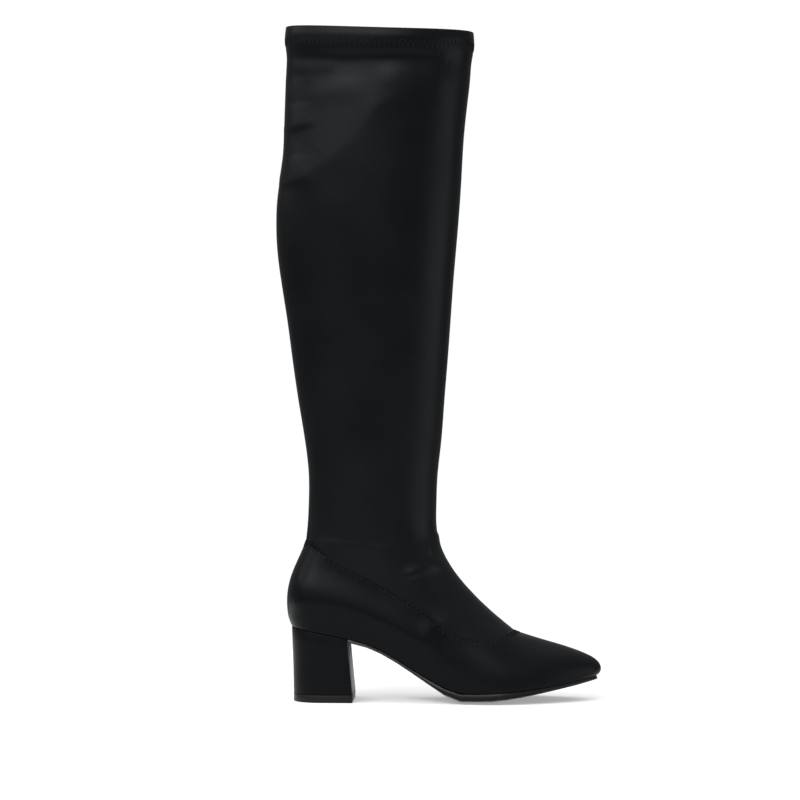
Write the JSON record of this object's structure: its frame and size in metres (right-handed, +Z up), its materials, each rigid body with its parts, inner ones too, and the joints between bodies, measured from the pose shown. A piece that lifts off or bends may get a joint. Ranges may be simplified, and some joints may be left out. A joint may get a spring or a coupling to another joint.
{
  "type": "thigh high boot",
  "caption": "Pull-on boot that reaches over the knee, with a stretch sock shaft, a pump-shaped foot, an almond toe and a covered block heel.",
  "frame": {"origin": "on the floor, under the middle of the boot's box", "axes": "+X towards the toe, -Y to the outer side of the leg, +Z up"},
  "size_m": [0.2572, 0.0878, 0.5316],
  "materials": {
    "upper": "matte",
    "shaft": "matte",
    "outsole": "satin",
    "heel": "matte",
    "top_piece": "satin",
    "insole": "matte"
  },
  "bodies": {
    "root": {"upper": "upper", "shaft": "shaft", "outsole": "outsole", "heel": "heel", "top_piece": "top_piece", "insole": "insole"}
  },
  "joints": []
}
